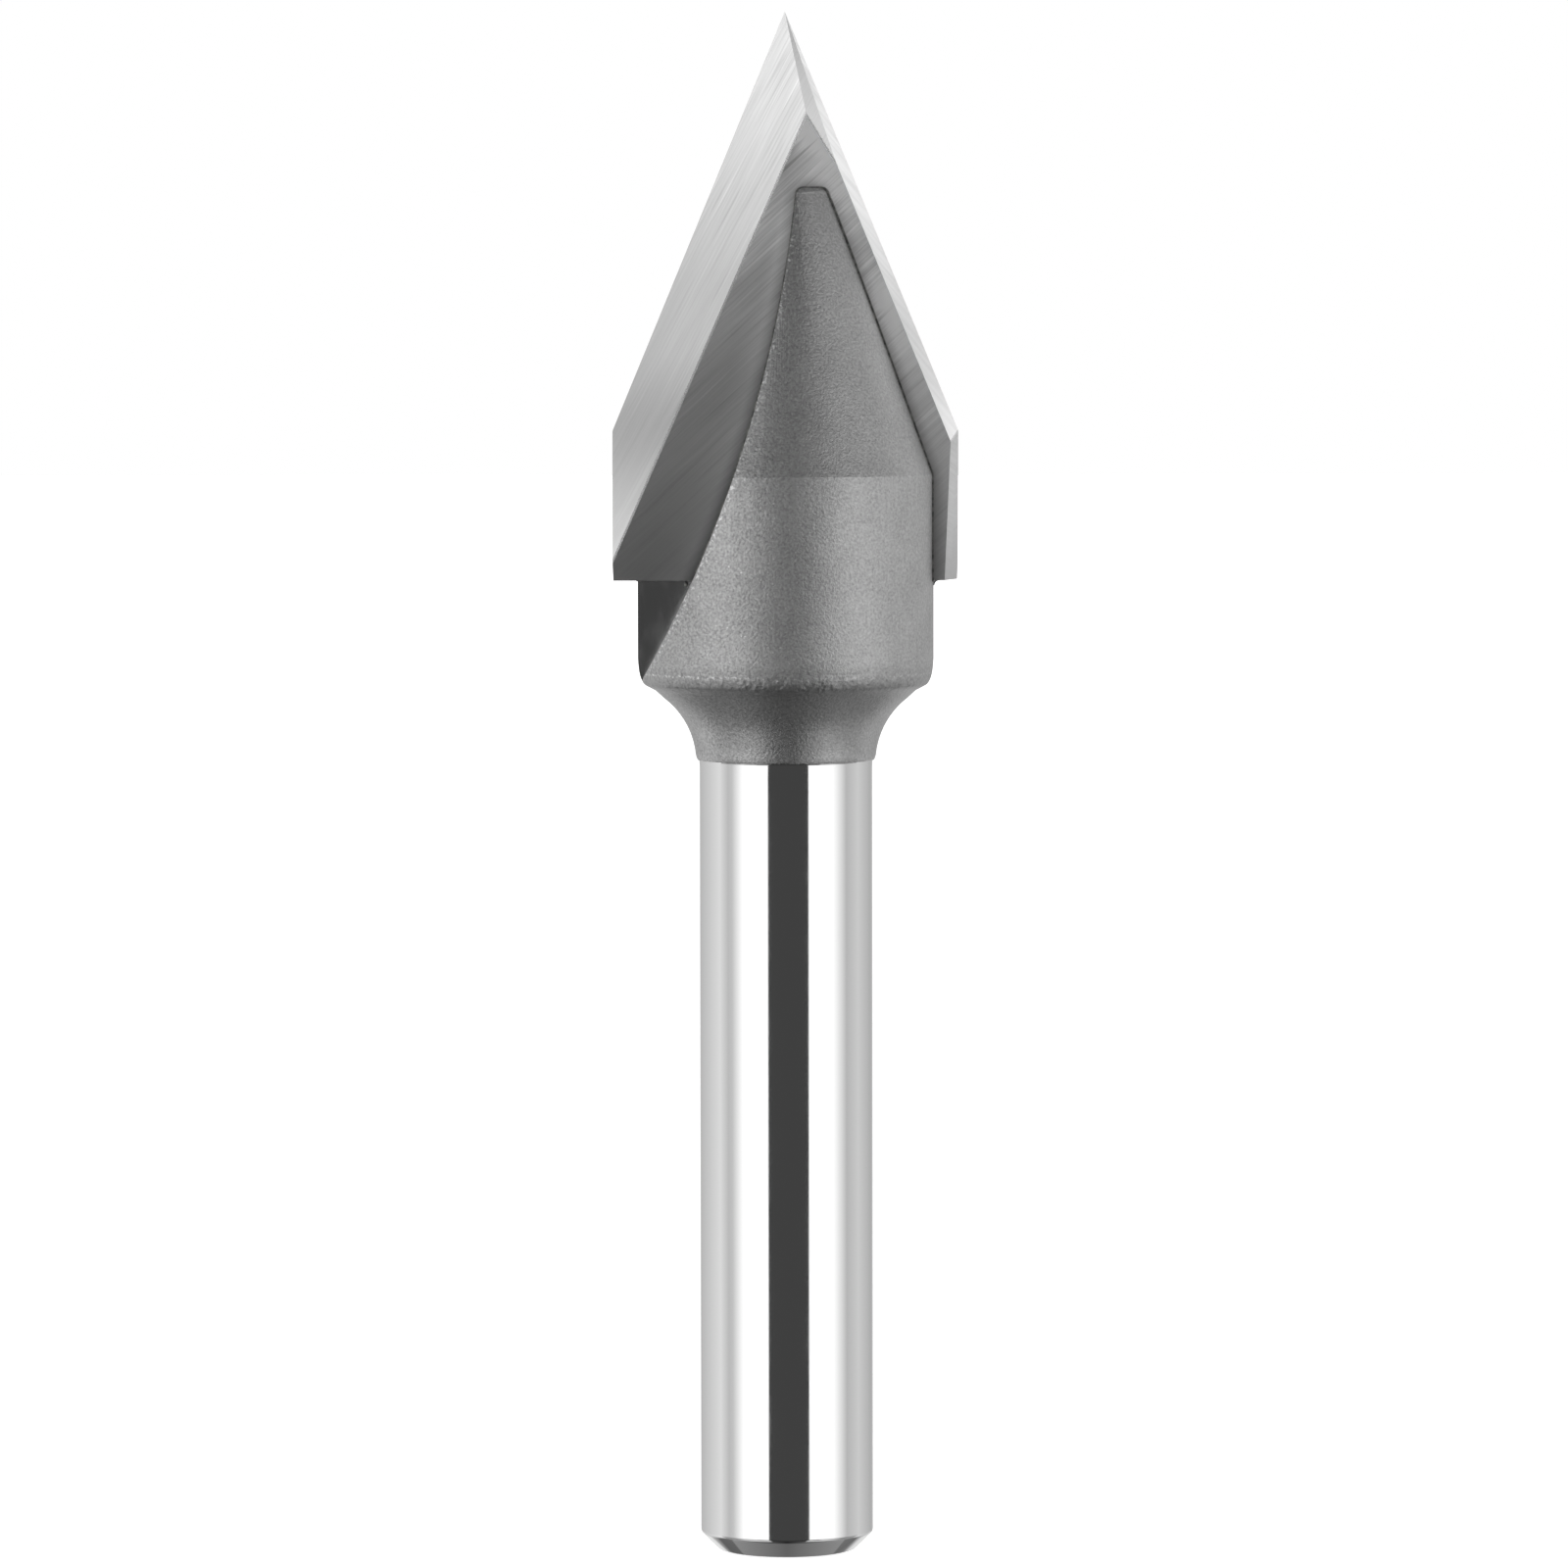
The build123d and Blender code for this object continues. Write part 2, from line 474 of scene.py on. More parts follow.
def bodyProfile():
    # Radius and height of each ring, from the shank's end up to the nose. The grinding of the shank ran
    # out against a tiny ledge, and the head's lower rim is rubbed round above a sharper corner.
    size = bodySizes
    noseRadius = headRadius - size["coneHeight"] * math.tan(math.radians(size["coneDegrees"]))
    foot = (size["endRadius"], 0.0)
    chamfer = (size["shankRadius"], size["chamferTop"])
    runoutFoot = (size["shankRadius"], size["runoutFoot"])
    arcCentre = size["neckRadius"] + size["neckArc"]
    neckFirst = math.asin((size["neckFoot"] - size["neckLevel"]) / size["neckArc"])
    neckLast = math.asin((size["neckEnd"] - size["neckLevel"]) / size["neckArc"])
    neck = []
    for step in range(size["neckSteps"] + 1):
        angle = neckFirst + (neckLast - neckFirst) * step / size["neckSteps"]
        neck.append((
            arcCentre - size["neckArc"] * math.cos(angle),
            size["neckLevel"] + size["neckArc"] * math.sin(angle),
        ))
    rim = (headRadius, size["rimTop"])
    shoulder = (headRadius, shoulderLevel)
    nose = (noseRadius, noseTop)

    profile = roundedCorner((0.0, 0.0), foot, chamfer, *size["chamferRound"])
    profile += roundedCorner(foot, chamfer, runoutFoot, *size["chamferRound"])
    profile += roundedCorner(chamfer, runoutFoot, size["runoutTop"], *size["runoutFootRound"])
    profile += [size["runoutTop"], size["ledge"]]
    profile += roundedCorner(size["ledge"], size["neckCorner"], neck[0], *size["neckCornerRound"])
    profile += neck
    profile += size["rimPoints"]
    profile += roundedCorner(rim, shoulder, nose, *size["shoulderRound"])
    profile += roundedCorner(shoulder, nose, (0.0, noseTop), *size["noseRound"])
    return profile


def turnedStock(name, proud=0.0):
    # The turned blank, ring by ring up the profile. Standing proud makes it a skin's depth larger.
    rings = [
        (radius + proud, height + (proud if height > shoulderLevel else 0.0))
        for radius, height in bodyProfile()
    ]
    startClean()
    bpy.ops.mesh.primitive_circle_add(
        vertices=bodySizes["ringSteps"], radius=rings[0][0] * mm, fill_type="NGON",
        location=(0, 0, rings[0][1] * mm),
    )
    stock = bpy.context.object
    stock.name = name
    editWhole()
    for (radius, height), (nextRadius, nextHeight) in zip(rings, rings[1:]):
        rise = (nextHeight - height) * mm
        bpy.ops.mesh.extrude_region_move(TRANSFORM_OT_translate={"value": (0, 0, rise)})
        grow = nextRadius / radius
        bpy.ops.transform.resize(value=(grow, grow, 1), center_override=(0, 0, nextHeight * mm))
    bpy.ops.mesh.select_all(action="SELECT")
    bpy.ops.mesh.normals_make_consistent(inside=False)
    bpy.ops.object.mode_set(mode="OBJECT")
    return stock


def gulletWheel(side, wear=0.0):
    # The grinding wheel as a cutter, in front of the left half (side -1) or behind the right half (1)
    startClean()
    reach = (headRadius + past) * mm
    bpy.ops.mesh.primitive_cylinder_add(
        vertices=gulletSizes["wheelSteps"], radius=(gulletSizes["wheelRadius"] + wear) * mm, depth=reach,
        location=(-side * wheelCentre * mm, side * reach / 2, wheelHeight * mm),
        rotation=(math.pi / 2, 0, 0),
    )
    return bpy.context.object


def slotCutter(gap):
    # The slot across the head, wider than the plate by a gap on each side and below
    floor = plateFoot - gap
    height = noseTop + past - floor
    sides = (2 * (headRadius + past), 2 * (halfPlate + gap), height)
    return addBlock((0, 0, floor + height / 2), sides)


def noseCorner(side, top, wear):
    # What the rounding takes off the corner between a gullet and the nose's flat: a bar less a cylinder
    radius, steps = bodySizes["noseCornerRound"]
    drop = gulletSizes["wheelAboveNose"] + radius
    wheelEdge = math.sqrt((gulletSizes["wheelRadius"] + wear) ** 2 - drop ** 2)
    corner = wheelCentre + wheelEdge
    middle = (-side * (corner + radius), side * past / 2, top - radius)
    bar = addBlock(middle, (2 * radius, past, 2 * radius))
    bar.location = (side * radius * mm, 0, radius * mm)
    bpy.ops.object.transform_apply(location=True, rotation=True, scale=True)
    startClean()
    bpy.ops.mesh.primitive_cylinder_add(
        vertices=steps, radius=radius * mm, depth=2 * past * mm,
        location=[place * mm for place in middle], rotation=(math.pi / 2, 0, 0),
    )
    cutWith(bar, bpy.context.object)
    return bar


def cutGullets(stock, top, wear=0.0):
    for side in (-1, 1):
        cutWith(stock, gulletWheel(side, wear))
        cutWith(stock, noseCorner(side, top, wear))


# The blasted skin, in mm where it has a length. A pair is where something starts and where it is full.
blastSizes = {
    "pitGap": 0.095,
    "pitDepth": 0.03,
    "pitStrength": 0.6,
    "cloudGap": 1.4,
    "cloudShare": 0.25,
    "darkTone": "#808080",
    "lightTone": "#C6C6C6",
    "toneSpan": (-0.275, 0.525),
    "leftSpan": (1.0, -1.8),
    "contrastLeft": 1.3,
    "contrastRight": 0.85,
    "cornerShadeReach": 0.35,
    "cornerShadeDarkest": 0.7,
    "leeRoughness": 0.4,
    "openRoughness": 0.5,
    "leeSpan": (-0.4, -0.1),
    "edgeSoftness": 0.01,
    "ragGap": 0.14,
    "ragHeight": 0.1,
}
# Painted glints of single grains and beside the gullets, painted highlight lines along the rim and the
# crease, the painted shade round the head's lower rim, and the rim's dents
glintShadeAndDentSizes = {
    "sparkGap": 0.2,
    "sparkSize": 0.2,
    "sparkCore": 0.5,
    "sparkChoice": (0.6, 0.9),
    "sparkRight": 0.25,
    "lineCore": 0.4,
    "edgeLine": 0.05,
    "creaseShare": 0.3,
    "brokenSpan": (0.5, 0.62),
    "highlightRight": 0.3,
    "fleckReach": 0.2,
    "fleckCore": 0.3,
    "fleckSpan": (0.56, 0.66),
    "flashTone": "#F4F4F4",
    "flashShare": 0.7,
    "underRimLine": 0.16,
    "clottedShade": -0.3,
    "rimBandLevel": -0.1,
    "rimBandWidth": 0.45,
    "rimShade": 0.1,
    "dentGap": 0.25,
    "dentLevel": 0.12,
    "dentReach": 0.4,
    "dentDepth": 3.2,
}
# Between two levels the skin passes to another share of its tone, as painted light and shade: painted
# shade on the cone, towards the nose's top and down the neck, and painted light on the nose's rounded
# edge and at the foot of the neck
shadeBands = {
    "cone": (shoulderLevel - 0.03, shoulderLevel + 0.03, 0.9),
    "nose": (noseTop - 4.5, noseTop, 0.8),
    "noseEdge": (noseTop - 0.25, noseTop - 0.05, 1.5),
    "neck": (bodySizes["underRim"] - 0.5, bodySizes["underRim"] - 1.5, 0.95),
    "neckFoot": (bodySizes["blastEdge"] + 0.3, bodySizes["blastEdge"] + 0.1, 1.12),
}
# The shank's grinding rings, drawn a little coarser than the real ones, and the haze of handling
shankSizes = {
    "tone": "#CFCFCF",
    "ringGap": 0.06,
    "ringRun": 50.0,
    "ringDepth": 0.018,
    "hazeGap": 2.5,
    "hazeSpan": (0.35, 0.75),
    "roughness": (0.055, 0.1),
}


def grains(tree, place, leftShare):
    # Painted glints of single flat grains: one small round spot in some of the cells of a fine cell
    # pattern, painted brighter on the left side of the bit, which faces the light
    size = glintShadeAndDentSizes["sparkSize"]
    cells = addNode(tree, "TexVoronoi", {"Scale": 1 / (glintShadeAndDentSizes["sparkGap"] * mm), "Vector": place})
    spot = addNode(tree, "MapRange", spanOf(
        cells.outputs["Distance"], size, size * glintShadeAndDentSizes["sparkCore"],
    ))
    chosen = addNode(tree, "MapRange", spanOf(cells.outputs["Color"], *glintShadeAndDentSizes["sparkChoice"]))
    flash = addNode(tree, "Math", {0: spot, 1: chosen}, operation="MULTIPLY")
    side = addNode(tree, "MapRange", spanOf(leftShare, 0.0, 1.0, glintShadeAndDentSizes["sparkRight"], 1.0))
    return addNode(tree, "Math", {0: flash, 1: side}, operation="MULTIPLY")


def lineAt(tree, height, level, width):
    # 1 in the core of a line at a level, fading to 0 at the line's width above and below
    away = addNode(tree, "Math", {0: height, 1: level * mm}, operation="SUBTRACT")
    distance = addNode(tree, "Math", {0: away}, operation="ABSOLUTE")
    return addNode(tree, "MapRange", spanOf(distance, width * mm, width * glintShadeAndDentSizes["lineCore"] * mm))


def gulletEdgeFlecks(tree, place, grit):
    # Painted glints on grains beside the gullet's edge. Their place is told by the distance from the
    # grinding wheel's axis, which lies on the other side of the bit for the back gullet.
    split = addNode(tree, "SeparateXYZ", {"Vector": place})
    faced = addNode(tree, "CombineXYZ", {"X": facedAcross(tree, split), "Z": split.outputs["Z"]})
    fromAxis = addNode(tree, "VectorMath", {
        0: faced, 1: (-wheelCentre * mm, 0, wheelHeight * mm),
    }, operation="DISTANCE")
    reach = glintShadeAndDentSizes["fleckReach"]
    near = addNode(tree, "MapRange", spanOf(
        fromAxis.outputs["Value"], (gulletSizes["wheelRadius"] + reach) * mm,
        (gulletSizes["wheelRadius"] + glintShadeAndDentSizes["fleckCore"] * reach) * mm,
    ))
    bright = addNode(tree, "MapRange", spanOf(grit, *glintShadeAndDentSizes["fleckSpan"]))
    return addNode(tree, "Math", {0: near, 1: bright}, operation="MULTIPLY")


def skinTone(tree, place, leftShare, grit):
    # Matt grey of the blasted skin, patchy over a millimetre or two, with the pits' contrast painted
    # stronger on the left side, which faces the light
    cloud = addNode(tree, "TexNoise", {
        "Scale": 1 / (blastSizes["cloudGap"] * mm), "Detail": 3.0, "Vector": place,
    })
    contrast = addNode(tree, "MapRange", spanOf(
        leftShare, 0.0, 1.0, blastSizes["contrastRight"], blastSizes["contrastLeft"],
    ))
    centred = addNode(tree, "Math", {0: grit, 1: 0.5}, operation="SUBTRACT")
    pits = addNode(tree, "Math", {0: centred, 1: contrast}, operation="MULTIPLY")
    mixed = addNode(tree, "Math", {
        0: cloud, 1: blastSizes["cloudShare"], 2: pits,
    }, operation="MULTIPLY_ADD")
    level = addNode(tree, "MapRange", spanOf(mixed, *blastSizes["toneSpan"]))
    return addNode(tree, "Mix", {
        "Factor": level, "A": toLinear(blastSizes["darkTone"]), "B": toLinear(blastSizes["lightTone"]),
    }, data_type="RGBA")


def paintedHighlights(tree, place, ragged, leftShare, grit):
    # Painted highlights: a broken bright line on the head's rim and a fainter one on the crease under the
    # cone, stronger on the left side, painted glints on the grains beside the gullets, and painted glints
    # of single grains all over
    rim = lineAt(tree, ragged, bodySizes["rimTop"], glintShadeAndDentSizes["edgeLine"])
    crease = lineAt(tree, ragged, shoulderLevel, glintShadeAndDentSizes["edgeLine"])
    faintCrease = addNode(tree, "Math", {0: crease, 1: glintShadeAndDentSizes["creaseShare"]}, operation="MULTIPLY")
    lines = addNode(tree, "Math", {0: rim, 1: faintCrease}, operation="MAXIMUM")
    broken = addNode(tree, "MapRange", spanOf(grit, *glintShadeAndDentSizes["brokenSpan"]))
    brokenLines = addNode(tree, "Math", {0: lines, 1: broken}, operation="MULTIPLY")
    highlightSide = addNode(tree, "MapRange", spanOf(leftShare, 0.0, 1.0, glintShadeAndDentSizes["highlightRight"], 1.0))
    flash = addNode(tree, "Math", {0: brokenLines, 1: highlightSide}, operation="MULTIPLY")
    for more in (gulletEdgeFlecks(tree, place, grit), grains(tree, place, leftShare)):
        flash = addNode(tree, "Math", {0: flash, 1: more}, operation="MAXIMUM")
    return addNode(tree, "Math", {0: flash, 1: glintShadeAndDentSizes["flashShare"]}, operation="MULTIPLY")


def skinShade(tree, height, ragged, grit):
    # Painted shade: a thin uneven shadow line under the rim, a broader and fainter painted dark band over
    # the rim, the shade bands between levels, and the painted corner shade
    underRim = lineAt(tree, ragged, bodySizes["underRim"], glintShadeAndDentSizes["underRimLine"])
    clotted = addNode(tree, "MapRange", spanOf(
        grit, *glintShadeAndDentSizes["brokenSpan"], 0.0, glintShadeAndDentSizes["clottedShade"],
    ))
    shadow = addNode(tree, "Math", {0: underRim, 1: clotted, 2: 1.0}, operation="MULTIPLY_ADD")
    bandLevel = bodySizes["rimTop"] + glintShadeAndDentSizes["rimBandLevel"]
    band = lineAt(tree, height, bandLevel, glintShadeAndDentSizes["rimBandWidth"])
    shade = addNode(tree, "Math", {
        0: band, 1: -glintShadeAndDentSizes["rimShade"], 2: shadow,
    }, operation="MULTIPLY_ADD")
    for start, end, share in shadeBands.values():
        passing = addNode(tree, "MapRange", spanOf(height, start * mm, end * mm, 1.0, share))
        shade = addNode(tree, "Math", {0: shade, 1: passing}, operation="MULTIPLY")
    return paintedCornerShade(tree, shade, blastSizes["cornerShadeReach"], blastSizes["cornerShadeDarkest"])


def blastedTone(tree, place, height, ragged, grit):
    # The skin with its painted highlights and glints, times its painted shade
    across = addNode(tree, "SeparateXYZ", {"Vector": place})
    # 1 on the left side of the bit, which faces the light, where the painted highlights, glints and pit
    # contrast are stronger
    start, end = blastSizes["leftSpan"]
    leftShare = addNode(tree, "MapRange", spanOf(across, start * mm, end * mm))
    lit = addNode(tree, "Mix", {
        "Factor": paintedHighlights(tree, place, ragged, leftShare, grit),
        "A": skinTone(tree, place, leftShare, grit).outputs["Result"],
        "B": toLinear(glintShadeAndDentSizes["flashTone"]),
    }, data_type="RGBA")
    return addNode(tree, "VectorMath", {
        "Vector": lit.outputs["Result"], "Scale": skinShade(tree, height, ragged, grit),
    }, operation="SCALE")


def steelMaterial():
    # Alloy tool steel. Blasted with fine grit it is a matt grey, here with painted glints of single
    # grains, painted highlights and painted shade; the shank is ground afterwards, up to a ragged line,
    # and mirrors the studio in straight bands.
    material, tree = newMaterial("blastedAndGroundToolSteel")
    place = addNode(tree, "TexCoord").outputs["Object"]
    height = addNode(tree, "SeparateXYZ", {"Vector": place}).outputs["Z"]

    rag = addNode(tree, "TexNoise", {
        "Scale": 1 / (blastSizes["ragGap"] * mm), "Detail": 2.0, "Vector": place,
    })
    uneven = addNode(tree, "Math", {0: rag, 1: 0.5}, operation="SUBTRACT")
    ragged = addNode(tree, "Math", {
        0: uneven, 1: blastSizes["ragHeight"] * mm, 2: height,
    }, operation="MULTIPLY_ADD")
    edge, softness = bodySizes["blastEdge"], blastSizes["edgeSoftness"]
    blasted = addNode(tree, "MapRange", spanOf(ragged, (edge - softness) * mm, (edge + softness) * mm))
    grit = addNode(tree, "TexNoise", {
        "Scale": 1 / (blastSizes["pitGap"] * mm), "Detail": 2.0, "Roughness": 0.6, "Vector": place,
    })

    ringPlaces = addNode(tree, "Mapping", {
        "Scale": [1 / (shankSizes[size] * mm) for size in ("ringRun", "ringRun", "ringGap")],
        "Vector": place,
    })
    rings = addNode(tree, "TexNoise", {"Scale": 1.0, "Detail": 2.0, "Vector": ringPlaces})
    haze = addNode(tree, "TexNoise", {
        "Scale": 1 / (shankSizes["hazeGap"] * mm), "Detail": 5.0, "Roughness": 0.65, "Vector": place,
    })
    shankRough = addNode(tree, "MapRange", spanOf(
        haze, *shankSizes["hazeSpan"], *shankSizes["roughness"],
    ))

    # The neck lay in the lee of the head and was blasted less
    leeStart, leeEnd = [bodySizes["rimTop"] + level for level in blastSizes["leeSpan"]]
    lee = addNode(tree, "MapRange", spanOf(
        height, leeStart * mm, leeEnd * mm, blastSizes["leeRoughness"], blastSizes["openRoughness"],
    ))
    rough = addNode(tree, "Mix", {"Factor": blasted, "A": shankRough, "B": lee})
    colour = addNode(tree, "Mix", {
        "Factor": blasted, "A": toLinear(shankSizes["tone"]),
        "B": blastedTone(tree, place, height, ragged, grit),
    }, data_type="RGBA")

    # The head's lower rim is nibbled: dents of a quarter of a millimetre on both sides of its corner
    dents = addNode(tree, "TexNoise", {
        "Scale": 1 / (glintShadeAndDentSizes["dentGap"] * mm), "Detail": 1.0, "Vector": place,
    })
    onRim = lineAt(tree, height, bodySizes["underRim"] + glintShadeAndDentSizes["dentLevel"], glintShadeAndDentSizes["dentReach"])
    rimDents = addNode(tree, "Math", {0: dents, 1: onRim}, operation="MULTIPLY")
    relief = addNode(tree, "Math", {
        0: rimDents, 1: glintShadeAndDentSizes["dentDepth"], 2: grit,
    }, operation="MULTIPLY_ADD")
    pits = addNode(tree, "Math", {0: relief, 1: blasted}, operation="MULTIPLY")
    depth = addNode(tree, "Math", {
        0: rings, 1: shankSizes["ringDepth"], 2: pits,
    }, operation="MULTIPLY_ADD")
    bump = addNode(tree, "Bump", {
        "Strength": blastSizes["pitStrength"], "Distance": blastSizes["pitDepth"] * mm, "Height": depth,
    })
    shader = addNode(tree, "BsdfPrincipled", {
        "Base Color": colour.outputs["Result"], "Metallic": 1.0, "Roughness": rough.outputs["Result"],
        "Normal": bump,
    })
    addNode(tree, "OutputMaterial", {"Surface": shader})
    return material


def gulletMaterial(name, roughness):
    # The same steel where the grinding wheel cut it, with faint wiped marks: the flat wall is smooth,
    # and the curved floor that the wheel's rim left is more matt
    material, tree = newMaterial(name)
    place = addNode(tree, "TexCoord").outputs["Object"]
    wiped = addNode(tree, "Mapping", {
        "Rotation": (0, gulletSizes["smearTurn"], 0),
        "Scale": [number / mm for number in gulletSizes["smearsPerMm"]], "Vector": place,
    })
    smear = addNode(tree, "TexNoise", {"Scale": 1.0, "Detail": 2.0, "Vector": wiped})
    tone = toneRamp(tree, smear, gulletSizes["smearTones"])
    shader = addNode(tree, "BsdfPrincipled", {
        "Metallic": 1.0, "Roughness": roughness, "Base Color": tone,
    })
    addNode(tree, "OutputMaterial", {"Surface": shader})
    return material


def cutEdgeMaterial():
    # The sharp edges that the cuts left, speckled from dark grey to near white
    material, tree = newMaterial("speckledCutEdgeSteel")
    place = addNode(tree, "TexCoord").outputs["Object"]
    nicks = addNode(tree, "TexNoise", {
        "Scale": 1 / (gulletSizes["nickGap"] * mm), "Detail": 2.0, "Roughness": 0.7, "Vector": place,
    })
    tone = toneRamp(tree, nicks, gulletSizes["nickTones"])
    shader = addNode(tree, "BsdfPrincipled", {
        "Metallic": 1.0, "Roughness": gulletSizes["nickRoughness"], "Base Color": tone,
    })
    addNode(tree, "OutputMaterial", {"Surface": shader})
    return material


def makeBody():
    body = turnedStock("routerBody")
    cutGullets(body, noseTop)
    cutWith(body, slotCutter(brazeSizes["gap"]))
    body.data.materials.clear()
    body.data.materials.append(steelMaterial())
    body.data.materials.append(gulletMaterial("groundGulletWallSteel", gulletSizes["wallRoughness"]))
    body.data.materials.append(cutEdgeMaterial())
    body.data.materials.append(gulletMaterial("groundGulletFloorSteel", gulletSizes["floorRoughness"]))
    skin, gulletWall, cutEdge, gulletFloor = range(4)
    onCut = gulletSizes["onCut"]
    for face in body.data.polygons:
        middle = face.center / mm
        side = -1 if middle.y < 0 else 1
        fromAxis = math.hypot(-side * middle.x - wheelCentre, middle.z - wheelHeight)
        face.material_index = skin
        if abs(middle.y) < onCut and abs(face.normal.y) > 1 - onCut:
            face.material_index = gulletWall
        if abs(fromAxis - gulletSizes["wheelRadius"]) < onCut and abs(face.normal.y) < onCut:
            face.material_index = gulletFloor

    # Only the cuts left sharp edges, which are broken by a few hundredths of a millimetre
    makeActive(body)
    editWhole()
    bpy.ops.mesh.remove_doubles(threshold=bodySizes["weldReach"] * mm)
    sharp = math.radians(bodySizes["sharpDegrees"])
    selectEdges(body, lambda edge: len(edge.link_faces) == 2 and edge.calc_face_angle() > sharp)
    bpy.ops.mesh.bevel(
        offset=bodySizes["cutEdgeBreak"] * mm, segments=2, affect="EDGES", clamp_overlap=True,
        material=cutEdge,
    )
    bpy.ops.object.mode_set(mode="OBJECT")
    settle(body)
    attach(body, "root")
    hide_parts("steel_body")
    print("body made,", len(body.data.polygons), "faces")


# Carbide plate: a ground blank, then the rake bevels, both reliefs and the facets beside the point

plateSizes = {
    "straightEdge": 5.48,
    "rakeBevelDegrees": 19.8,
    "edgeDrift": 0.11,
    "vReliefDegrees": 25.0,
    "straightReliefDegrees": 17.0,
    "facetTurnDegrees": 31.6,
    "facetSlopeDegrees": 31.5,
    "creaseBreak": 0.035,
    "creaseDegrees": (10, 60),
    "sharpTip": 0.5,
    "smoothDegrees": 5,
    "grindSlack": 0.0001,
    "weldReach": 0.002,
    "cornerShadeReach": 0.5,
    "cornerShadeDarkest": 0.42,
}
# What the wheel marks of all ground surfaces share, in mm where it has a length. Marks fade from the
# level where they are full down to the plate's foot, levels being shares of the plate's height.
markSizes = {
    "run": 4.0,
    "streakRun": 7.0,
    "streakGap": 0.5,
    "streakShare": 0.35,
    "span": (0.435, 0.915),
    "fullLevel": 0.8,
    "footShare": 0.15,
    "scratchRun": 5.0,
    "scratchGaps": 2.2,
    "scratchPlace": (0.3, 0.7, 0.2),
    "brightScratch": (0.62, 0.74),
    "darkScratch": (0.38, 0.26),
    "liftReach": 1.6,
    "noseLevel": 0.61,
    "noseSpan": (0.03, 0.12),
}
# Each ground surface: the slope of its wheel marks seen from the front, their spacing and depth in mm,
# how strongly they show, its roughness, how strong its scratches are, how much lighter its right half is,
# which is painted light, and its tone from the plate's foot (0) to the point (1), which paints light and
# shade along each surface: the face darker towards its foot, the others lighter and darker along their
# length.
plateFinishes = {
    "diamondGroundFace": {
        "markDegrees": 43.0, "markGap": 0.07, "markDepth": 0.0012, "contrast": 0.2, "roughness": 0.5,
        "scratch": 0.3, "rightLift": 1.76,
        "tones": (
            (0.03, "#949494"), (0.1, "#9C9C9C"), (0.17, "#A6A6A6"), (0.24, "#AFAFAF"), (0.31, "#B1B1B1"),
            (0.38, "#BBBBBB"), (0.45, "#C9C9C9"), (0.52, "#D3D3D3"), (0.59, "#E4E4E4"), (0.65, "#EEEEEE"),
            (0.74, "#C6C6C6"), (0.8, "#FFFFFF"),
        ),
    },
    "groundRakeBevel": {
        "markDegrees": 62.0, "markGap": 0.06, "markDepth": 0.0008, "contrast": 0.15, "roughness": 0.28,
        "scratch": 0.2, "rightLift": 1.0,
        "tones": (
            (0.0, "#C0C0C0"), (0.06, "#AEAEAE"), (0.13, "#A2A2A2"), (0.27, "#8C8C8C"), (0.4, "#9C9C9C"),
            (0.55, "#A4A4A4"), (0.75, "#B4B4B4"), (0.95, "#C2C2C2"),
        ),
    },
    "groundVRelief": {
        "markDegrees": -50.0, "markGap": 0.12, "markDepth": 0.0008, "contrast": 0.16, "roughness": 0.28,
        "scratch": 0.1, "rightLift": 1.0,
        "tones": (
            (0.24, "#D6D6D6"), (0.36, "#BEBEBE"), (0.46, "#BABABA"), (0.58, "#C6C6C6"), (0.72, "#D2D2D2"),
            (0.9, "#CCCCCC"),
        ),
    },
    "groundStraightRelief": {
        "markDegrees": -35.0, "markGap": 0.16, "markDepth": 0.0008, "contrast": 0.35, "roughness": 0.28,
        "scratch": 0.1, "rightLift": 1.0,
        "tones": ((0.0, "#BCBCBC"), (0.1, "#D2D2D2"), (0.27, "#DADADA")),
    },
    "groundPointFacet": {
        "markDegrees": 60.0, "markGap": 0.06, "markDepth": 0.0008, "contrast": 0.06, "roughness": 0.28,
        "scratch": 0.1, "rightLift": 1.0,
        "tones": ((0.6, "#C0C0C0"), (0.83, "#C0C0C0"), (0.95, "#B0B0B0")),
    },
    # The broken creases are toned near white: a painted highlight along them
    "brokenCreaseHighlight": {
        "markDegrees": 62.0, "markGap": 0.2, "markDepth": 0.0, "contrast": 0.04, "roughness": 0.25,
        "scratch": 0.0, "rightLift": 1.0,
        "tones": ((0.55, "#CACACA"), (0.74, "#F8F8F8")),
    },
}


def leaning(start, towards, degrees):
    turn = math.radians(degrees)
    return start * math.cos(turn) + towards * math.sin(turn)


def inFace(degreesFromDown):
    turn = math.radians(degreesFromDown)
    return Vector((math.sin(turn), 0, -math.cos(turn)))


def grindOff(point, along, across, outside):
    # Grinds away what lies beyond the plane through a point and two directions
    normal = along.cross(across).normalized()
    if normal.dot(outside) < 0:
        normal = -normal
    bpy.ops.mesh.select_all(action="SELECT")
    bpy.ops.mesh.bisect(
        plane_co=point * mm, plane_no=normal, clear_outer=True, use_fill=True,
        threshold=plateSizes["grindSlack"] * mm,
    )


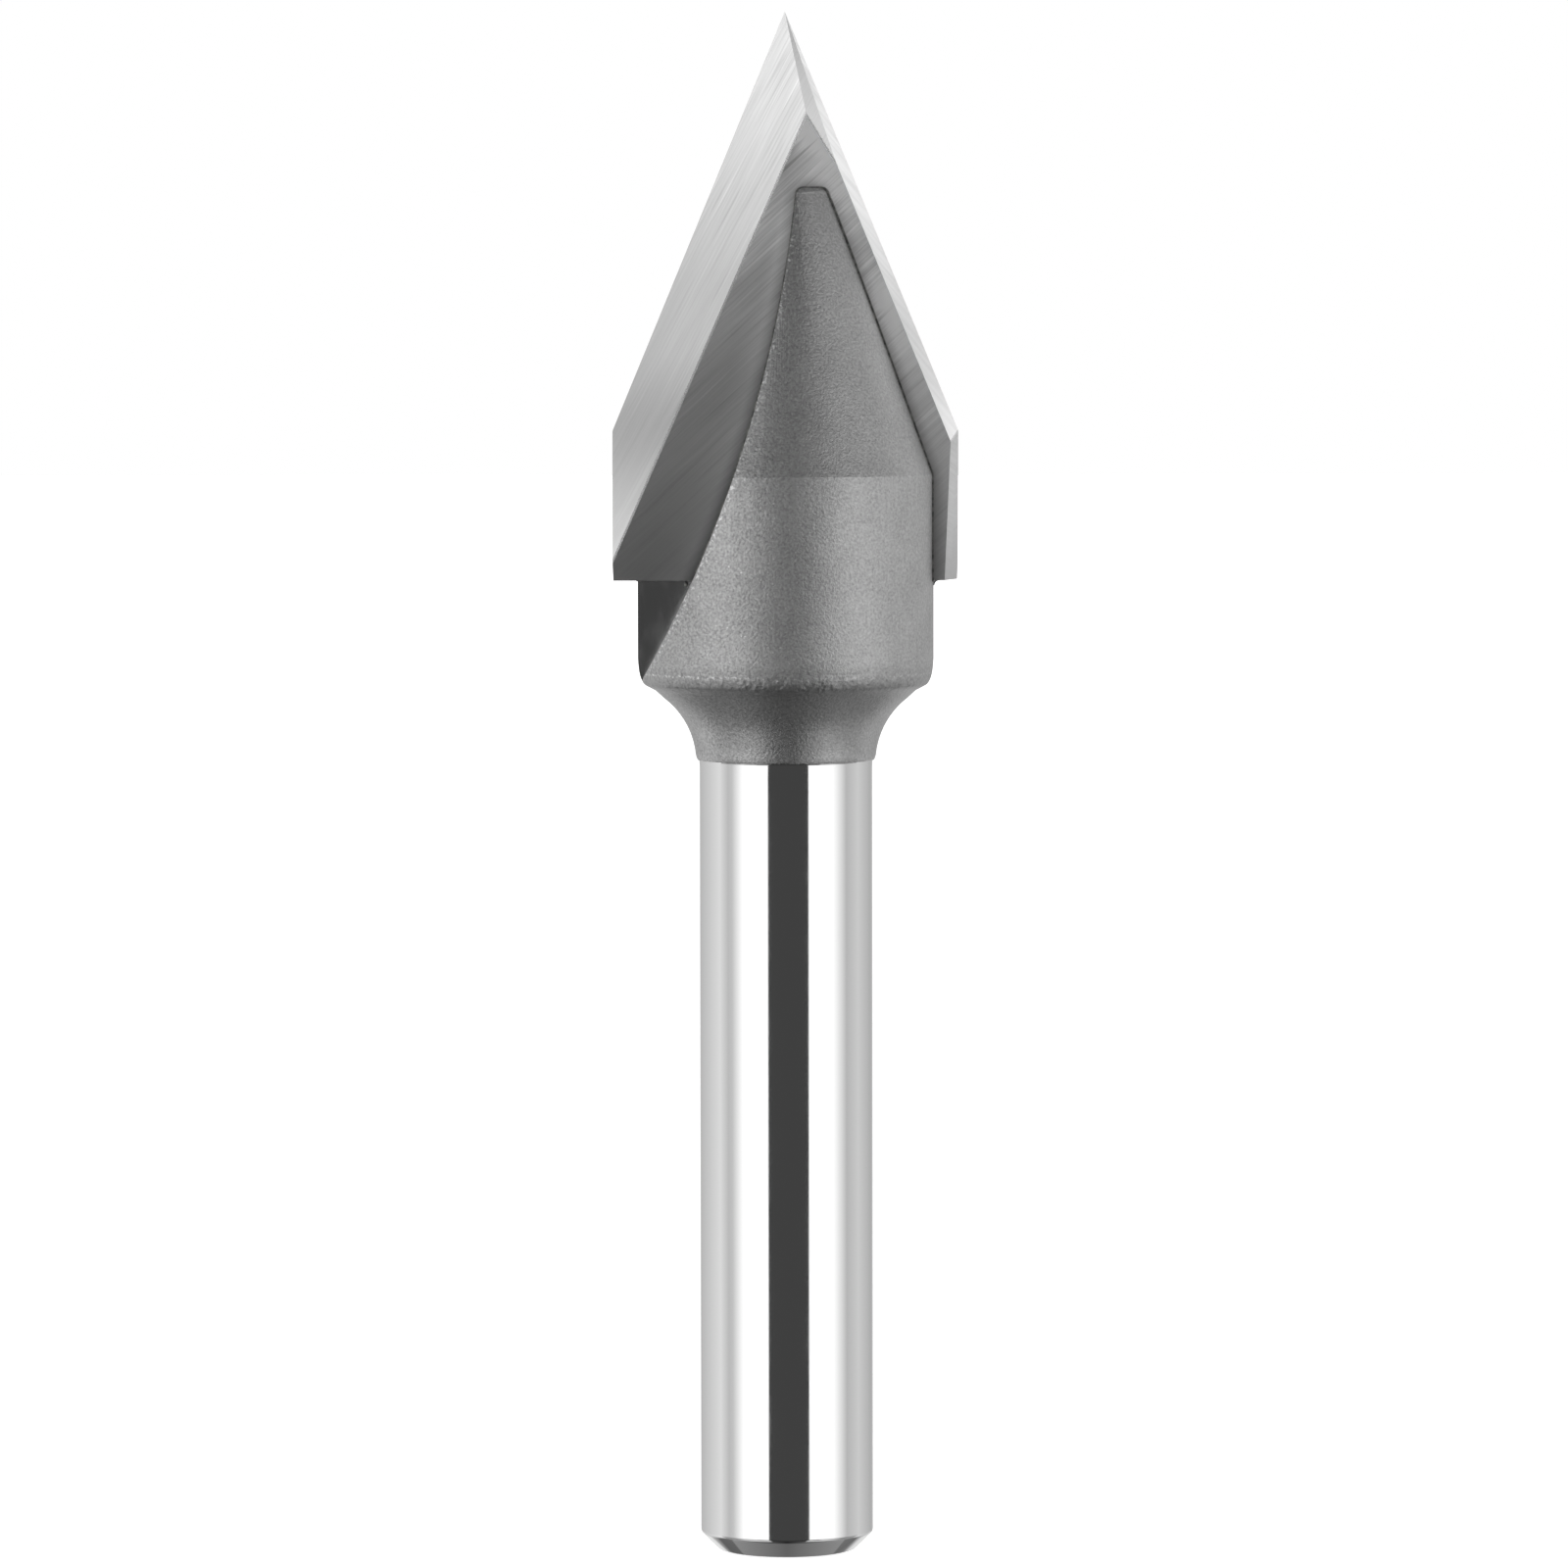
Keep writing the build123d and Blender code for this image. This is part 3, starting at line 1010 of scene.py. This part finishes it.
def grindSide():
    # The four grinds that face the viewer: rake bevel and both reliefs of the left edge, and the facet
    right, back, front = Vector((1, 0, 0)), Vector((0, 1, 0)), Vector((0, -1, 0))
    tip = Vector((0, 0, plateTip))
    cornerHeight = plateFoot + plateSizes["straightEdge"]
    corner = Vector((-cuttingRadius, -plateSizes["edgeDrift"], cornerHeight))
    edge = (corner - tip).normalized()
    inward = front.cross(edge)
    rakeSlope = leaning(inward, front, plateSizes["rakeBevelDegrees"])
    grindOff(tip, edge, rakeSlope, front)
    grindOff(tip, edge, leaning(back, inward, plateSizes["vReliefDegrees"]), -inward)
    straight = edge.cross(rakeSlope).cross(right)
    grindOff(corner, straight, leaning(back, right, plateSizes["straightReliefDegrees"]), -right)
    facetTurn = plateSizes["facetTurnDegrees"]
    facetAcross = leaning(inFace(facetTurn - 90), front, plateSizes["facetSlopeDegrees"])
    grindOff(tip, inFace(facetTurn), facetAcross, right)


def makePlateBlank(name):
    height = plateTip - plateFoot
    sides = (2 * cuttingRadius, 2 * halfPlate, height)
    plate = addBlock((0, 0, plateFoot + height / 2), sides)
    plate.name = name
    bpy.ops.object.mode_set(mode="EDIT")
    for half in (0, 1):
        grindSide()
        turnHalfRound()
    bpy.ops.mesh.select_all(action="SELECT")
    bpy.ops.mesh.remove_doubles(threshold=plateSizes["weldReach"] * mm)
    bpy.ops.mesh.normals_make_consistent(inside=False)
    bpy.ops.object.mode_set(mode="OBJECT")
    return plate


def stretchedNoise(tree, turned, run, gap, start=(0, 0, 0), **noise):
    # Noise drawn out along the wheel's path: a mark's run in mm, and its gap to the next
    stretch = addNode(tree, "Mapping", {
        "Location": start, "Scale": (1 / (run * mm), 1 / (run * mm), 1 / (gap * mm)), "Vector": turned,
    })
    return addNode(tree, "TexNoise", {"Scale": 1.0, **noise, "Vector": stretch})


def rightHalfPaintedLight(tree, across, up, rightLift):
    # Painted light: the right half of a surface is lighter, apart from the stretch beside the nose
    toTheRight = addNode(tree, "MapRange", spanOf(across, 0.0, -markSizes["liftReach"] * mm))
    fromTheNose = addNode(tree, "Math", {0: up, 1: markSizes["noseLevel"]}, operation="SUBTRACT")
    eitherWay = addNode(tree, "Math", {0: fromTheNose}, operation="ABSOLUTE")
    clearOfTheNose = addNode(tree, "MapRange", spanOf(eitherWay, *markSizes["noseSpan"]))
    share = addNode(tree, "Math", {0: toTheRight, 1: clearOfTheNose}, operation="MULTIPLY")
    return addNode(tree, "Math", {0: share, 1: rightLift - 1, 2: 1.0}, operation="MULTIPLY_ADD")


def markedShare(tree, turned, up, fine, finish):
    # The wheel's marks as a share of the tone: fine ones with broad streaks among them, and a few
    # deeper scratches that coarse grains left, some bright and some dark
    broad = stretchedNoise(tree, turned, markSizes["streakRun"], markSizes["streakGap"], Detail=2.0)
    marks = addNode(tree, "Math", {
        0: broad, 1: markSizes["streakShare"], 2: fine,
    }, operation="MULTIPLY_ADD")
    scratches = stretchedNoise(
        tree, turned, markSizes["scratchRun"], finish["markGap"] * markSizes["scratchGaps"],
        markSizes["scratchPlace"], Detail=1.0,
    )
    towardsPoint = addNode(tree, "MapRange", spanOf(
        up, 0.0, markSizes["fullLevel"], markSizes["footShare"], 1.0,
    ))
    contrast, scratch = finish["contrast"], finish["scratch"]
    share = None
    for pattern, span in (
        (marks, (*markSizes["span"], -contrast, contrast)),
        (scratches, (*markSizes["brightScratch"], 0.0, scratch)),
        (scratches, (*markSizes["darkScratch"], 0.0, -scratch)),
    ):
        change = addNode(tree, "MapRange", spanOf(pattern, *span))
        changed = addNode(tree, "Math", {0: change, 1: towardsPoint, 2: 1.0}, operation="MULTIPLY_ADD")
        if share:
            changed = addNode(tree, "Math", {0: share, 1: changed}, operation="MULTIPLY")
        share = changed
    return share


def carbideMaterial(name, finish):
    # Tungsten carbide ground with a diamond wheel: a grey satin with fine parallel marks that catch
    # the light in streaks
    material, tree = newMaterial(name)
    place = addNode(tree, "TexCoord").outputs["Object"]
    split = addNode(tree, "SeparateXYZ", {"Vector": place})
    across = facedAcross(tree, split)
    faced = addNode(tree, "CombineXYZ", {"X": across, "Y": split.outputs["Y"], "Z": split.outputs["Z"]})
    turned = addNode(tree, "Mapping", {
        "Rotation": (0, -math.radians(finish["markDegrees"]), 0), "Vector": faced,
    })
    fine = stretchedNoise(tree, turned, markSizes["run"], finish["markGap"], Detail=3.0, Roughness=0.6)
    up = addNode(tree, "MapRange", spanOf(split.outputs["Z"], plateFoot * mm, plateTip * mm))
    share = addNode(tree, "Math", {
        0: markedShare(tree, turned, up, fine, finish),
        1: rightHalfPaintedLight(tree, across, up, finish["rightLift"]),
    }, operation="MULTIPLY")
    if name == "diamondGroundFace":
        # Painted shade on the face along the seam with the steel
        share = paintedCornerShade(tree, share, plateSizes["cornerShadeReach"], plateSizes["cornerShadeDarkest"])
    marked = addNode(tree, "VectorMath", {
        "Vector": toneRamp(tree, up, finish["tones"]), "Scale": share,
    }, operation="SCALE")
    bump = addNode(tree, "Bump", {"Strength": 1.0, "Distance": finish["markDepth"] * mm, "Height": fine})
    shader = addNode(tree, "BsdfPrincipled", {
        "Metallic": 1.0, "Roughness": finish["roughness"], "Base Color": marked, "Normal": bump,
    })
    addNode(tree, "OutputMaterial", {"Surface": shader})
    return material


# How a face's finish is told: how far it looks outward, that is to the front or back, or down
finishBounds = {
    "flatOutward": 0.99,
    "footDown": 0.9,
    "rakeSlack": 0.004,
    "reliefSlack": 0.02,
    "sideOutward": 0.4,
}


def plateFinishOf(face):
    bounds = finishBounds
    outward = abs(face.normal.y)
    rakeOutward = math.cos(math.radians(plateSizes["rakeBevelDegrees"]))
    reliefOutward = math.sin(math.radians(plateSizes["vReliefDegrees"]))
    if outward > bounds["flatOutward"] or abs(face.normal.z) > bounds["footDown"]:
        finish = "diamondGroundFace"
    elif abs(outward - rakeOutward) < bounds["rakeSlack"]:
        finish = "groundRakeBevel"
    elif abs(outward - reliefOutward) < bounds["reliefSlack"]:
        finish = "groundVRelief"
    elif outward < bounds["sideOutward"]:
        finish = "groundStraightRelief"
    else:
        finish = "groundPointFacet"
    return list(plateFinishes).index(finish)


def makePlate():
    plate = makePlateBlank("carbidePlate")
    for name, finish in plateFinishes.items():
        plate.data.materials.append(carbideMaterial(name, finish))
    for face in plate.data.polygons:
        face.material_index = plateFinishOf(face)

    # The cutting edges stay sharp. The creases between the grinds and the foot's edges are broken.
    makeActive(plate)
    bpy.ops.object.mode_set(mode="EDIT")
    least, most = [math.radians(degrees) for degrees in plateSizes["creaseDegrees"]]
    belowTip = (plateTip - plateSizes["sharpTip"]) * mm
    selectEdges(plate, lambda edge: (
        least < edge.calc_face_angle() < most and max(end.co.z for end in edge.verts) < belowTip
    ))
    bpy.ops.mesh.bevel(
        offset=plateSizes["creaseBreak"] * mm, segments=1, affect="EDGES",
        material=list(plateFinishes).index("brokenCreaseHighlight"),
    )
    bpy.ops.object.mode_set(mode="OBJECT")
    settle(plate, plateSizes["smoothDegrees"])
    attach(plate, "root")
    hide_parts("carbide_blade")
    print("plate made,", len(plate.data.polygons), "faces")


# Braze: the thin seam round the plate, a hollow bead under its right end, and a run-out drop on each
# gullet wall

brazeSizes = {
    "gap": 0.05,
    "proud": 0.05,
    "bead": 0.21,
    "beadLip": 0.03,
    "beadSink": 0.02,
    "beadArcSteps": 6,
    "beadSpinSteps": 8,
    "weldReach": 0.0005,
    "dropPlace": (-3.66, -0.01, -0.16),
    "dropRadius": 0.09,
    "dropStretch": (0.8, 0.5, 1.3),
    "sootGap": 0.3,
    "sootTones": ((0.35, "#606060"), (0.7, "#A0A09C")),
    "roughness": (0.3, 0.6),
}


def brazeMaterial():
    # Silver solder, dull and a little sooty as it cooled
    material, tree = newMaterial("dullSilverSolder")
    place = addNode(tree, "TexCoord").outputs["Object"]
    soot = addNode(tree, "TexNoise", {
        "Scale": 1 / (brazeSizes["sootGap"] * mm), "Detail": 4.0, "Roughness": 0.7, "Vector": place,
    })
    tone = toneRamp(tree, soot, brazeSizes["sootTones"])
    rough = addNode(tree, "MapRange", spanOf(soot, 0.0, 1.0, *brazeSizes["roughness"]))
    shader = addNode(tree, "BsdfPrincipled", {"Metallic": 1.0, "Base Color": tone, "Roughness": rough})
    addNode(tree, "OutputMaterial", {"Surface": shader})
    return material


def endBead():
    # Hollow bead under the right end of the plate: its section is spun round the head's side
    bead, sink = brazeSizes["bead"], brazeSizes["beadSink"]
    hollow = bead - brazeSizes["beadLip"]
    arcSteps = brazeSizes["beadArcSteps"]
    section = [(-sink, -bead), (-sink, sink), (bead, sink)]
    for step in range(arcSteps + 1):
        turn = math.radians(90) * step / arcSteps
        section.append((bead - hollow * math.sin(turn), -bead + hollow * math.cos(turn)))
    startClean()
    bpy.ops.mesh.primitive_circle_add(vertices=len(section), radius=bead * mm, fill_type="NGON")
    piece = bpy.context.object
    piece.name = "endBead"
    for vertex, (out, up) in zip(piece.data.vertices, section):
        vertex.co = ((headRadius + out) * mm, 0.0, (plateFoot + up) * mm)
    sweep = math.asin(halfPlate / headRadius)
    editWhole()
    bpy.ops.mesh.spin(
        steps=brazeSizes["beadSpinSteps"], angle=-sweep, center=(0, 0, 0), axis=(0, 0, 1), dupli=False,
    )
    bpy.ops.mesh.select_all(action="SELECT")
    bpy.ops.mesh.remove_doubles(threshold=brazeSizes["weldReach"] * mm)
    bpy.ops.mesh.normals_make_consistent(inside=False)
    bpy.ops.object.mode_set(mode="OBJECT")
    return piece


def wallDrop():
    # Small drop of braze that ran down the gullet wall from the corner under the plate
    startClean()
    across, out, down = brazeSizes["dropPlace"]
    bpy.ops.mesh.primitive_ico_sphere_add(
        subdivisions=3, radius=brazeSizes["dropRadius"] * mm,
        location=(across * mm, out * mm, (plateFoot + down) * mm),
    )
    drop = bpy.context.object
    drop.name = "wallDrop"
    drop.scale = brazeSizes["dropStretch"]
    bpy.ops.object.transform_apply(location=True, rotation=True, scale=True)
    return drop


def halfTurnCopy(piece):
    # A copy with its own mesh on the other side of the bit
    makeActive(piece)
    bpy.ops.object.duplicate()
    other = bpy.context.object
    bpy.ops.object.mode_set(mode="EDIT")
    turnHalfRound()
    bpy.ops.object.mode_set(mode="OBJECT")
    return other


def makeBraze():
    seam = turnedStock("brazeSeam", brazeSizes["proud"])
    cutGullets(seam, noseTop + brazeSizes["proud"], -brazeSizes["proud"])
    cutWith(seam, slotCutter(brazeSizes["gap"]), "INTERSECT")
    cutWith(seam, makePlateBlank("plateCutter"))
    drop = wallDrop()
    parts = [endBead(), drop, halfTurnCopy(drop)]
    startClean()
    for part in parts:
        part.select_set(True)
    seam.select_set(True)
    bpy.context.view_layer.objects.active = seam
    bpy.ops.object.join()
    seam.data.materials.clear()
    seam.data.materials.append(brazeMaterial())
    settle(seam)
    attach(seam, "root")
    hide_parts("braze")
    print("braze made,", len(seam.data.polygons), "faces")


makeBody()
makePlate()
makeBraze()
